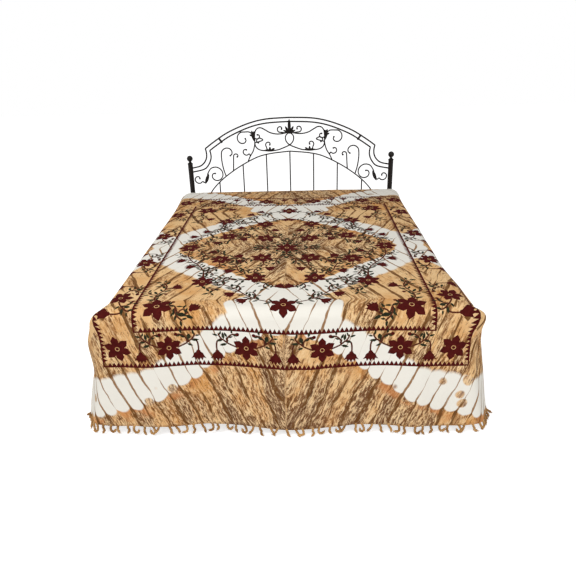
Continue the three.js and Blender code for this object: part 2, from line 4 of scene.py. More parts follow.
import bmesh
import bpy
from mathutils import Matrix, Vector, kdtree, noise
from mathutils.geometry import delaunay_2d_cdt


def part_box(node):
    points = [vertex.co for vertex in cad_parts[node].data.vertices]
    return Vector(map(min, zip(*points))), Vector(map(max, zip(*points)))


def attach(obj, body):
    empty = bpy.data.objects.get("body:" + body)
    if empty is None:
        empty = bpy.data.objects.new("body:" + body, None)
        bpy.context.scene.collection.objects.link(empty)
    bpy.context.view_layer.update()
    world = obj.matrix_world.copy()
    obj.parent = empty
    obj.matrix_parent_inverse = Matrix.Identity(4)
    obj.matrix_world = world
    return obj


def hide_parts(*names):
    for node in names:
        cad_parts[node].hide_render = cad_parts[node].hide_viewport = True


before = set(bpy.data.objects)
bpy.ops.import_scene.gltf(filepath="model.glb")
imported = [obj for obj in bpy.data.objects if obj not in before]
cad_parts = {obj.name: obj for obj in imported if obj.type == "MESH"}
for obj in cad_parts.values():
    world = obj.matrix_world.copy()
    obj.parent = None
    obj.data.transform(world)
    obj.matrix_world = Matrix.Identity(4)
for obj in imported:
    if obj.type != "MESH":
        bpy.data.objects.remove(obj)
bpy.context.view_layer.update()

# A batik bedspread with fringed ends, draped over a mattress on an iron bed. Metres, +Z up, the foot of the
# bed towards -Y. Pieces are drawn from the middle of the mattress, and moved to its place in the frame at
# the end.
MATTRESS_LOW, MATTRESS_HIGH = (Vector(corner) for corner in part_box("mattress"))
MIDDLE = Vector(((MATTRESS_LOW.x + MATTRESS_HIGH.x) / 2, (MATTRESS_LOW.y + MATTRESS_HIGH.y) / 2, 0))
MATTRESS_HALF = (MATTRESS_HIGH - MATTRESS_LOW) / 2
SIDES = (("left", -1), ("right", 1))
CREASE_ANGLE = 0.7                # radians: faces that meet at less are shaded as one


# ---------------------------------------------------------------- small helpers
def linear(code):
    """The linear colour of an sRGB hex code."""
    parts = [int(code[i:i + 2], 16) / 255 for i in (1, 3, 5)]
    return [c / 12.92 if c <= 0.04045 else ((c + 0.055) / 1.055) ** 2.4 for c in parts] + [1.0]


def feed(node, sockets):
    """Sets sockets of a node, by name or number: each to a value or to another node's output."""
    for key, value in sockets.items():
        if isinstance(value, bpy.types.NodeSocket):
            node.id_data.links.new(value, node.inputs[key])
        else:
            node.inputs[key].default_value = value


def add(tree, kind, sockets=None, **settings):
    """Adds a node with its sockets fed, and with these properties of its own."""
    made = tree.nodes.new("ShaderNode" + kind)
    for key, value in settings.items():
        setattr(made, key, value)
    feed(made, sockets or {})
    return made


def placed(name, data):
    """A new object of the scene."""
    obj = bpy.data.objects.new(name, data)
    bpy.context.scene.collection.objects.link(obj)
    return obj


def around(centre, radius, angle):
    """A point of the plane at a distance from a centre, in a direction in radians."""
    return centre[0] + radius * math.cos(angle), centre[1] + radius * math.sin(angle)


def smooth(points, per_span):
    """Catmull-Rom points through a short list of points."""
    points = [Vector(p) for p in points]
    line = []
    for i in range(len(points) - 1):
        a = points[max(i - 1, 0)]
        b, c = points[i], points[i + 1]
        d = points[min(i + 2, len(points) - 1)]
        for k in range(per_span):
            t = k / per_span
            line.append(0.5 * (2 * b + (c - a) * t + (2 * a - 5 * b + 4 * c - d) * t ** 2
                               + (3 * b - a - 3 * c + d) * t ** 3))
    return line + [points[-1]]


def way_at(line, i):
    """The direction of a line at one of its points."""
    return (line[min(i + 1, len(line) - 1)] - line[max(i - 1, 0)]).normalized()


def rods(name, lines, sides=3):
    """Round rods along lines, each (points, radius or a radius for each point), as one mesh."""
    curve = bpy.data.curves.new(name, "CURVE")
    curve.dimensions = "3D"
    curve.bevel_depth = 1.0
    curve.bevel_resolution = sides
    curve.use_fill_caps = True
    for points, radius in lines:
        spline = curve.splines.new("POLY")
        spline.points.add(len(points) - 1)
        for i, point in enumerate(points):
            spline.points[i].co = (*point, 1)
            spline.points[i].radius = radius[i] if hasattr(radius, "__len__") else radius
    holder = placed(name, curve)
    mesh = bpy.data.meshes.new_from_object(holder.evaluated_get(bpy.context.evaluated_depsgraph_get()))
    bpy.data.objects.remove(holder)
    bm = bmesh.new()
    bm.from_mesh(mesh)
    bpy.data.meshes.remove(mesh)
    return bm


def merge(bm, part):
    """Moves the geometry of one bmesh into another."""
    spare = bpy.data.meshes.new("part")
    part.to_mesh(spare)
    part.free()
    bm.from_mesh(spare)
    bpy.data.meshes.remove(spare)


def turned(profile, place):
    """A round piece from (radius, height) points spun about an upright axis."""
    bm = bmesh.new()
    verts = [bm.verts.new((radius, 0, height)) for radius, height in profile]
    edges = [bm.edges.new(pair) for pair in zip(verts, verts[1:])]
    bmesh.ops.spin(bm, geom=verts + edges, cent=(0, 0, 0), axis=(0, 0, 1), angle=math.tau, steps=32)
    bmesh.ops.remove_doubles(bm, verts=bm.verts, dist=1e-6)
    bmesh.ops.recalc_face_normals(bm, faces=bm.faces)
    bmesh.ops.translate(bm, verts=bm.verts, vec=place)
    return bm


def block(size):
    """A plain box about the origin."""
    bm = bmesh.new()
    bmesh.ops.create_cube(bm, size=1.0)
    bmesh.ops.scale(bm, vec=size, verts=bm.verts)
    return bm


def round_edges(bm, edges, radius, segments):
    bmesh.ops.bevel(bm, geom=edges, affect="EDGES", offset=radius, segments=segments, profile=0.5,
                    material=-1)


def piece(name, bm, material, slot, *nodes):
    """A finished piece of the bed from a bmesh, standing for CAD nodes."""
    bmesh.ops.translate(bm, verts=bm.verts, vec=MIDDLE)
    mesh = bpy.data.meshes.new(name)
    for face in bm.faces:
        face.smooth = True
    for edge in bm.edges:
        edge.smooth = not edge.is_manifold or edge.calc_face_angle() < CREASE_ANGLE
    bm.to_mesh(mesh)
    bm.free()
    obj = placed(name, mesh)
    obj.data.materials.append(material)
    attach(obj, "root")
    if nodes:
        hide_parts(*nodes)
    return obj


def material(name):
    """A new material with its tree, its Principled shader and nothing else linked."""
    made = bpy.data.materials.new(name)
    made.use_nodes = True
    return made, made.node_tree, made.node_tree.nodes["Principled BSDF"]


# ---------------------------------------------------------------- how the cloth hangs
CLOTH_WIDTH, CLOTH_LENGTH, CLOTH_THICKNESS = 2.290, 2.740, 0.002
BED_TOP = 0.660
FOLD_RADIUS = 0.050               # of the cloth over the edge of the bed
FOOT_OVERHANG = 0.634
HALF_X, HALF_Y = 0.755, 0.990     # where the flat top ends
SIDE_OVERHANG = CLOTH_WIDTH / 2 - HALF_X
CLOTH_MIDDLE = BED_TOP - CLOTH_THICKNESS / 2
LIE = CLOTH_LENGTH / 2 - HALF_Y - FOOT_OVERHANG   # from the middle of the flat top to the middle of the cloth

# The fan of cloth at a corner: ray in degrees, lean outwards and back along the side per unit of length hung.
FAN = [(0, 0, 0), (8, 0.14, 0), (16, 0.25, 0.04), (24, 0.27, 0.17), (32, 0.26, 0.32), (40, 0.22, 0.46),
       (46, 0.16, 0.54), (50, 0.1, 0.55), (55, 0.07, 0.47), (63, 0.055, 0.33), (72, 0.05, 0.17),
       (80, 0.045, 0.03), (85, 0.03, -0.03), (88, 0.01, -0.03), (90, 0, 0)]
# The cloth stands out in an ear at each corner. By end and side: how much wider it rolls over the edge at
# the ear's crest and where the side begins, how far along the side that reaches, and how far round the ear
# is turned, in degrees.
EARS = {(-1, -1): (0.058, 0.045, 0.06, 22), (-1, 1): (0.072, 0.060, 0.52, 22),
        (1, -1): (0.045, 0.030, 0.55, 24), (1, 1): (0.022, 0.012, 0.30, 24)}
EAR_RAYS = (8, 50)                # degrees: where the ear begins, and its crest
# Bulges down a corner's fan: distance hung, width, and how far out sideways.
BULGES = {(-1, -1): [(0.30, 0.10, 0.030), (0.68, 0.22, 0.024)],
          (-1, 1): [(0.14, 0.05, 0.014), (0.27, 0.08, -0.010)], (1, -1): [], (1, 1): []}
FAN_START, FAN_SOFTNESS = 0.062, 0.024
FLOOR_CLEARANCE, FLOOR_SOFTNESS, FLOOR_SLIDE = 0.004, 0.012, 0.8
# Soft folds: place along the edge, width, and how far out the foot of the fold stands.
FOOT_FOLDS = [(-0.56, 0.09, 0.012), (-0.30, 0.12, -0.009), (0.0, 0.17, 0.016), (0.33, 0.11, -0.008),
              (0.59, 0.08, 0.014)]
LEFT_FOLDS = [(-0.69, 0.07, 0.014), (-0.43, 0.08, 0.020), (-0.16, 0.06, -0.010), (0.06, 0.09, 0.022),
              (0.33, 0.07, -0.009), (0.54, 0.08, 0.018), (0.82, 0.06, 0.012)]
RIGHT_FOLDS = [(-0.74, 0.08, 0.020), (-0.50, 0.06, -0.008), (-0.29, 0.09, 0.024), (0.0, 0.07, 0.010),
               (0.21, 0.08, -0.010), (0.45, 0.09, 0.020), (0.76, 0.08, 0.015)]
HEAD_FOLDS = [(-0.42, 0.12, 0.003), (0.15, 0.14, 0.003)]


def smoothstep(value, low, high):
    t = min(max((value - low) / (high - low), 0), 1)
    return t * t * (3 - 2 * t)


def above_zero(value, softness):
    """The value where it is well above zero, and nothing well below, with a soft bend between."""
    return (value + math.hypot(value, softness)) / 2


def folds(table, place):
    return sum(depth * math.exp(-((place - at) / width) ** 2) for at, width, depth in table)


def over_edge(hung, radius=FOLD_RADIUS):
    """How far out and how far down the cloth is, this far past the flat top."""
    turn = min(max(hung, 0) / radius, math.pi / 2)
    straight = max(hung - radius * math.pi / 2, 0)
    return radius * math.sin(turn), radius * (1 - math.cos(turn)) + straight


def fan(column, ray):
    """Catmull-Rom value of one column of the fan table at a ray."""
    last = len(FAN) - 1
    i = 0
    while i < last - 1 and FAN[i + 1][0] < ray:
        i += 1

    def row(k):
        return FAN[min(max(k, 0), last)]

    def slope(k):
        return (row(k + 1)[column] - row(k - 1)[column]) / max(row(k + 1)[0] - row(k - 1)[0], 1)

    span = row(i + 1)[0] - row(i)[0]
    t = (ray - row(i)[0]) / span
    return (row(i)[column] * (2 * t ** 3 - 3 * t ** 2 + 1) + row(i + 1)[column] * (3 * t ** 2 - 2 * t ** 3)
            + slope(i) * span * (t ** 3 - 2 * t ** 2 + t) + slope(i + 1) * span * (t ** 3 - t ** 2))


def slip(u):
    """The cloth is laid a little askew: each column of it lies this much nearer the foot."""
    return 0.012 * math.exp(-(u / 0.26) ** 2) + 0.007 * math.sin(u / 0.33) + 0.005 * math.sin(u / 0.117 + 1)


def drape(u, w):
    """Where a point of the flat cloth lies: u across it and w along it, both from the middle of the cloth."""
    v = w + LIE - slip(u)
    side = -1 if u < 0 else 1
    end = -1 if v < 0 else 1
    hung_u, hung_v = abs(u) - HALF_X, abs(v) - HALF_Y
    x, y, z = abs(u), abs(v), 0
    crest_ear, side_ear, reach, ear_turn = EARS[end, side]
    if hung_u <= 0 < hung_v:
        out, down = over_edge(hung_v)
        y, z = HALF_Y + out, -down
    elif hung_v <= 0 < hung_u:
        out, down = over_edge(hung_u, FOLD_RADIUS + side_ear * (1 - smoothstep(-hung_v, 0, reach)))
        x, z = HALF_X + out, -down
    elif hung_u > 0:
        hung = math.hypot(hung_u, hung_v)
        angle = math.atan2(hung_u, hung_v)
        ray = math.degrees(angle)
        rise = smoothstep(ray, *EAR_RAYS)
        fall = smoothstep(ray, EAR_RAYS[1], 90)
        roll_out, down = over_edge(hung, FOLD_RADIUS + crest_ear * rise + (side_ear - crest_ear) * fall)
        plan = angle + math.radians(ear_turn) * rise * (1 - fall)
        out, back = fan(1, ray), fan(2, ray)
        lean = math.sqrt(out ** 2 + back ** 2 + 1)
        opened = above_zero(hung - FAN_START, FAN_SOFTNESS) - above_zero(-FAN_START, FAN_SOFTNESS)
        x = (HALF_X + roll_out * math.sin(plan) + opened * out / lean
             + folds(BULGES[end, side], hung) * rise * (1 - fall))
        y = HALF_Y + roll_out * math.cos(plan) - opened * back / lean
        z = -down + opened * (1 - 1 / lean)
    if hung_u > 0 > hung_v:
        x += (folds(LEFT_FOLDS if side < 0 else RIGHT_FOLDS, v) * smoothstep(hung_u, 0, SIDE_OVERHANG)
              * smoothstep(-hung_v, 0, 0.16))
    if hung_v > 0 > hung_u:
        y += (folds(FOOT_FOLDS if end < 0 else HEAD_FOLDS, u) * smoothstep(hung_v, 0, FOOT_OVERHANG)
              * smoothstep(-hung_u, 0, 0.16))
    lifted = above_zero(FLOOR_CLEARANCE - (CLOTH_MIDDLE + z), FLOOR_SOFTNESS)
    slide = Vector((max(x - HALF_X, 0), max(y - HALF_Y, 0)))
    slide = slide.normalized() * lifted * FLOOR_SLIDE if slide.length else slide
    return Vector((side * (x + slide.x), end * (y + slide.y), CLOTH_MIDDLE + z + lifted))


def creases(u, w):
    """How far the cloth puckers out of its smooth drape: softly, more where it hangs, and never inwards."""
    hung = max(abs(u) - HALF_X, abs(w + LIE) - HALF_Y, 0)
    soft = noise.noise(Vector((u * 2.1, w * 1.7, 3.1))) + 0.5 * noise.noise(Vector((u * 6, w * 5, 8.4)))
    flat = 0.0028 * max(soft + 0.25, 0)
    ripple = noise.noise(Vector((u * 9, w * 1.1, 1.7))) if abs(w + LIE) > HALF_Y else noise.noise(
        Vector((u * 1.1, w * 9, 5.2)))
    return flat + 0.012 * smoothstep(hung, 0.02, 0.5) * max(ripple + 0.15, 0)


# ---------------------------------------------------------------- the printed design
# Drawn for one quarter of the cloth, in millimetres from its middle: across it, then towards an end. The
# other three quarters mirror it. A shape that is drawn later is printed over the earlier ones.
GROUND, MAROON, STALK, LEAF, STRAW = range(5)
SHAPES = []
# Flowers: middle, from the centre to a petal's tip, and how far it is turned in degrees.
FLOWERS = [((0, 0), 66, 0), ((128, 158), 62, 12), ((348, 188), 60, 20), ((545, 0), 62, 30),
           ((145, 430), 60, 0), ((398, 480), 60, 8), ((0, 722), 66, 0), ((556, 744), 70, 12),
           ((744, 950), 62, 12)]
# Flowers of the bands: middle, and the way out to the edge in degrees.
BAND_FLOWERS = [(168, 950, 0), (511, 950, 0), (742, 212, 90), (742, 650, 90)]
# Vines of the field, each a sway from one flower to another or out into the field: from, to, how far it
# sways, the bells on stalks (share of the way, length of stalk, to the left or the right) and the leafy
# shoots (the same).
VINES = [
    ((0, 722), (398, 480), 22, [(0.3, 26), (0.52, 26)], [(0.27, -62), (0.55, -56), (0.8, -44)]),
    ((398, 480), (545, 0), -24, [(0.36, 26), (0.6, 26)], [(0.2, -46), (0.5, -58), (0.78, 44)]),
    ((145, 430), (348, 188), 20, [(0.4, 20), (0.7, -18)], [(0.55, 44), (0.25, -46)]),
    ((128, 158), (348, 188), 18, [(0.45, -18)], [(0.62, 52), (0.3, 44)]),
    ((128, 158), (145, 430), 18, [(0.42, 26)], [(0.6, -50), (0.78, 44)]),
    ((545, 0), (348, 188), 18, [(0.5, 20)], [(0.66, -50), (0.34, -46)]),
    ((0, 0), (128, 158), 10, [], []),
    ((0, 0), (214, 44), 14, [], [(0.6, -44)]),
    ((0, 0), (52, 282), 16, [], [(0.62, -46)]),
    ((145, 430), (30, 560), -12, [(1.0, 4)], [(0.5, -46)]),
    ((348, 188), (398, 480), 22, [], [(0.35, -52), (0.62, 50)]),
    ((145, 430), (398, 480), 18, [], [(0.4, -46), (0.62, 52)]),
    ((348, 188), (344, 20), -16, [], [(0.55, 44)]),
    ((556, 744), (586, 452), 22, [(0.62, -30)], [(0.38, 50), (0.8, 40)]),
    ((556, 744), (378, 790), 24, [(1.0, 4)], [(0.42, -62), (0.62, 30)]),
    ((398, 480), (326, 640), -18, [], [(0.6, 40)])]
VINE_BELL = 60
FLOWER_HEART = 34     # vines start this far from the middle of a flower, between its petals
BUDS = [(544, 616), (490, 706)]
# The spray beside a flower of the bands: along the band, then in from the flower, to be mirrored.
BAND_VINE = [(38, 2), (78, 20), (105, 40), (127, 28), (131, -6), (129, -18)]
BAND_SHOOTS = [[(84, 22), (80, 46), (62, 64), (40, 67)], [(104, 39), (116, 56), (118, 70)]]
# Borders: half width and half length to the outer edge of the line.
BORDERS = [(825, 1045), (662, 868)]
BORDER_LINE, TOOTH_PITCH, TOOTH_HEIGHT = 7, 19.5, 19
# Half of a bell's outline: across, and down from the stalk, as shares of its length.
BELL = [(0.0, 0.0), (0.13, 0.05), (0.17, 0.18), (0.36, 0.34), (0.44, 0.56), (0.6, 0.78), (0.36, 0.7),
        (0.28, 0.98), (0.13, 0.76), (0.0, 1.02)]


def shape(colour, points):
    """A printed shape, mirrored into every quarter of the cloth."""
    middles = set()
    for side in (1, -1):
        for end in (1, -1):
            outline = [(side * u / 1000, end * w / 1000) for u, w in points]
            middle = tuple(round(sum(p[i] for p in outline) / len(outline), 3) for i in (0, 1))
            if middle not in middles:
                middles.add(middle)
                area = sum(a[0] * b[1] - b[0] * a[1] for a, b in zip(outline, outline[1:] + outline[:1]))
                SHAPES.append((colour, outline if area > 0 else outline[::-1]))


def round_shape(colour, centre, radius, corners=10):
    shape(colour, [around(centre, radius, math.tau * i / corners) for i in range(corners)])


def flower(centre, reach, turn):
    """Six pointed petals, and a pale ring at the heart."""
    petal = ((-30, 0.53), (-22, 0.76), (-10, 0.88), (0, 1.04), (10, 0.88), (22, 0.76))
    shape(MAROON, [around(centre, reach * share, math.radians(90 + turn + 60 * i + step))
                   for i in range(6) for step, share in petal])
    round_shape(STRAW, centre, 0.17 * reach, 12)
    round_shape(MAROON, centre, 0.125 * reach, 12)


def along_line(start, finish, half, colour):
    """A shape between two points, from half of its outline."""
    start, finish = Vector(start), Vector(finish)
    run = finish - start
    across = Vector((-run.y, run.x))
    right = [tuple(start + run * down + across * out) for out, down in half]
    left = [tuple(start + run * down - across * out) for out, down in half if out]
    shape(colour, right + left[::-1])


def leaf_shape(start, finish):
    along_line(start, finish, [(0, 0), (0.19, 0.35), (0.15, 0.7), (0, 1)], LEAF)


def stalk(points, width=7.5):
    """A printed line of even width. Returns the points that it runs through."""
    line = smooth(points, 3)
    sides = ([], [])
    for i, point in enumerate(line):
        run = way_at(line, i)
        across = Vector((-run.y, run.x)) * width / 2
        sides[0].append(tuple(point + across))
        sides[1].append(tuple(point - across))
    shape(STALK, sides[0] + sides[1][::-1])
    return line


def vine(points, pitch=36.0, long=40.0, start=18.0, bare=0.0):
    """A stalk with leaves to both sides, but none on its bare end."""
    line = stalk(points)
    gone, due, side = 0.0, start, 1
    leafy = sum((b - a).length for a, b in zip(line, line[1:])) - bare
    for a, b in zip(line, line[1:]):
        gone += (b - a).length
        if due <= gone <= leafy:
            run = (b - a).normalized()
            for turn in (side * 42, -side * 50):
                way = Matrix.Rotation(math.radians(turn), 2) @ run
                base = b + way * 4.5
                leaf_shape(base, base + way * (long if turn * side > 0 else long * 0.8))
            side = -side
            due += pitch


def spray(start, finish, sway, bells, shoots):
    """A vine that sways to both sides of its way, with bells and leafy shoots to its sides."""
    start, finish = Vector(start), Vector(finish)
    ahead = (finish - start).normalized()
    start, finish = start + ahead * FLOWER_HEART, finish - ahead * FLOWER_HEART
    left = Vector((-ahead.y, ahead.x))

    def on_way(share):
        return start + (finish - start) * share + left * sway * math.sin(math.tau * share)

    vine([on_way(i / 5) for i in range(6)])
    for share, stem in bells:
        root, out = on_way(share), (ahead * 0.45 + left * math.copysign(1, stem)).normalized()
        hung = root + out * abs(stem)
        stalk([root, root + ahead * abs(stem) * 0.35 + out * abs(stem) * 0.4, hung], 6.5)
        along_line(hung, hung + out * VINE_BELL, BELL, MAROON)
    for share, long in shoots:
        root, out, reach = on_way(share), left * math.copysign(1, long), abs(long)
        vine([root, root + reach * (0.25 * ahead + 0.55 * out), root + reach * (0.8 * ahead + 0.9 * out)],
             32.0, 32.0, 22.0)


def draw_border(half_width, half_length):
    """A line round the cloth with teeth that point to its middle."""
    corners = [(half_width, half_length), (-half_width, half_length), (-half_width, -half_length),
               (half_width, -half_length)]
    outer, inner = [], []
    for (x0, y0), (x1, y1) in zip(corners, corners[1:] + corners[:1]):
        along = Vector((x1 - x0, y1 - y0))
        run = along.normalized()
        inwards = Vector((-run.y, run.x))
        count = round((along.length - 2 * BORDER_LINE - 2 * TOOTH_HEIGHT) / TOOTH_PITCH)
        first = Vector((x0, y0)) + run * (BORDER_LINE + TOOTH_HEIGHT) + inwards * BORDER_LINE
        pitch = (along.length - 2 * (BORDER_LINE + TOOTH_HEIGHT)) / count
        for i in range(count):
            outer.append(tuple(Vector((x0, y0)) + run * along.length * i / count))
            inner.append(tuple(first + run * pitch * i))
            inner.append(tuple(first + run * pitch * (i + 0.5) + inwards * TOOTH_HEIGHT))
        inner.append(tuple(first + run * pitch * count))
        inner.append(tuple(first + run * (pitch * count + TOOTH_HEIGHT)))
    for colour, points in ((MAROON, outer), (GROUND, inner)):
        outline = [(u / 1000, w / 1000) for u, w in points]
        SHAPES.append((colour, outline))


def band_motif(u, w, way):
    """A flower of the bands, with a spray of leaves, a bud and a hanging bell to each side."""
    def put(point, side):
        x, y = side * point[0], point[1]
        return (u + x, w - y) if way == 0 else (u - y, w + x)

    for side in (1, -1):
        vine([put(p, side) for p in BAND_VINE], 36.0, 36.0, 32.0, 44.0)
        for line in BAND_SHOOTS:
            vine([put(p, side) for p in line], 34.0, 28.0, 16.0)
        round_shape(MAROON, put((36, 67), side), 8.5)
        along_line(put((129, -14), side), put((128, -72), side), BELL, MAROON)
    flower((u, w), 60, way)


def draw_print():
    for border in BORDERS:
        draw_border(*border)
    for item in VINES:
        spray(*item)
    for bud in BUDS:
        round_shape(MAROON, bud, 9)
    for motif in BAND_FLOWERS:
        band_motif(*motif)
    for item in FLOWERS:
        flower(*item)


def steps(*spans):
    """Places along spans, each (from, to, about how far apart)."""
    places = []
    for start, finish, gap in spans:
        count = round((finish - start) / gap)
        places += [start + (finish - start) * i / count for i in range(count)]
    return places + [spans[-1][1]]


# Spacings of the net that the cloth bends by, finest where it rolls over an edge, and its distance to the print.
FINE, MEDIUM, COARSE, NEAR_PRINT = 0.010, 0.015, 0.022, 0.005


def cut_cloth():
    """Triangles of the flat cloth that keep to the outlines of its print, and the colour of each."""
    points, faces, seen = [], [], {}
    for colour, outline in SHAPES:
        face = []
        for point in outline:
            key = (round(point[0], 4), round(point[1], 4))
            if key not in seen:
                seen[key] = len(points)
                points.append(Vector(key))
            if seen[key] not in face:
                face.append(seen[key])
        faces.append(face)
    near = kdtree.KDTree(len(points))
    for i, point in enumerate(points):
        near.insert((*point, 0), i)
    near.balance()
    half = steps((0, 0.72, COARSE), (0.72, 0.86, FINE), (0.86, CLOTH_WIDTH / 2, MEDIUM))
    ends = CLOTH_LENGTH / 2
    rows = steps((-ends, -0.85, MEDIUM), (-0.85, -0.70, FINE), (-0.70, 1.18, COARSE), (1.18, ends, FINE))
    for u in [-u for u in half[:0:-1]] + half:
        for w in rows:
            if near.find((u, w, 0))[2] > NEAR_PRINT:
                points.append(Vector((u, w)))
    places, _, triangles, _, _, sources = delaunay_2d_cdt(points, [], faces, 0, 1e-6)
    colours = [SHAPES[max(source)][0] if source else GROUND for source in sources]
    return places, triangles, colours


def bedspread():
    """The cloth, hung. Its faces carry the number of their dye."""
    draw_print()
    places, triangles, colours = cut_cloth()
    bm = bmesh.new()
    flat = [(bm.verts.new((*place, 0)), *place) for place in places]
    for corners, colour in zip(triangles, colours):
        bm.faces.new([flat[i][0] for i in corners]).material_index = colour
    cut = bm.loops.layers.uv.new("Cloth")
    bake = bm.loops.layers.uv.new("OFBake")
    for face in bm.faces:
        for loop in face.loops:
            u, w = loop.vert.co.xy
            loop[cut].uv = (u, w)
            loop[bake].uv = (u / CLOTH_WIDTH + 0.5, w / CLOTH_LENGTH + 0.5)
    for vert, u, w in flat:
        vert.co = drape(u, w)
    bm.normal_update()
    moved = [vert.normal * creases(u, w) for vert, u, w in flat]
    for (vert, _, _), shift in zip(flat, moved):
        vert.co += shift
        vert.co.z = max(vert.co.z, FLOOR_CLEARANCE)
    return bm


# ---------------------------------------------------------------- materials
def calc(tree, operation, *values):
    return add(tree, "Math", dict(enumerate(values)), operation=operation).outputs[0]


def remap(tree, value, low, high, to=(0.0, 1.0), curve="LINEAR"):
    return add(tree, "MapRange", {"Value": value, "From Min": low, "From Max": high, "To Min": to[0],
                                  "To Max": to[1]}, interpolation_type=curve).outputs[0]


def blend(tree, share, first, second):
    """A colour between two, each a hex code or another node's output."""
    first, second = (linear(c) if isinstance(c, str) else c for c in (first, second))
    return add(tree, "Mix", {0: share, 6: first, 7: second}, data_type="RGBA").outputs[2]


def grain(tree, vector, scale, detail=3.0, roughness=0.6, distortion=0.0):
    return add(tree, "TexNoise", {"Vector": vector, "Scale": scale, "Detail": detail, "Roughness": roughness,
                                  "Distortion": distortion}).outputs[0]


def relief(tree, height, strength, distance, **below):
    return add(tree, "Bump", {"Height": height, "Strength": strength, "Distance": distance,
                              **below}).outputs[0]


def woven(tree, shader, cloth, colour):
    """A dull cotton surface: the weave, drawn at 3 mm because its own threads are too fine to show, soft
    crumpling, and a narrow hem turned along the sides."""
    crumpled = relief(tree, grain(tree, cloth, 22.0, 4.0, 0.5, 0.4), 0.5, 0.0055)
    threads = relief(tree, grain(tree, cloth, 330.0, 2.0, 0.5), 0.3, 0.0006, Normal=crumpled)
    aside = calc(tree, "ABSOLUTE", add(tree, "SeparateXYZ", {0: cloth}).outputs[0])
    turned_in = remap(tree, aside, CLOTH_WIDTH / 2 - 0.014, CLOTH_WIDTH / 2 - 0.012)
    feed(shader, {"Base Color": colour, "Normal": relief(tree, turned_in, 0.8, 0.0015, Normal=threads),
                  "Roughness": 0.92, "Specular IOR Level": 0.05})


FOLD_ACROSS, FOLD_ALONG = 0.68, 0.69    # where the pleats' folds mirror the dye, from the middle of the cloth
PLEAT = 0.033                           # half the width of a pleat


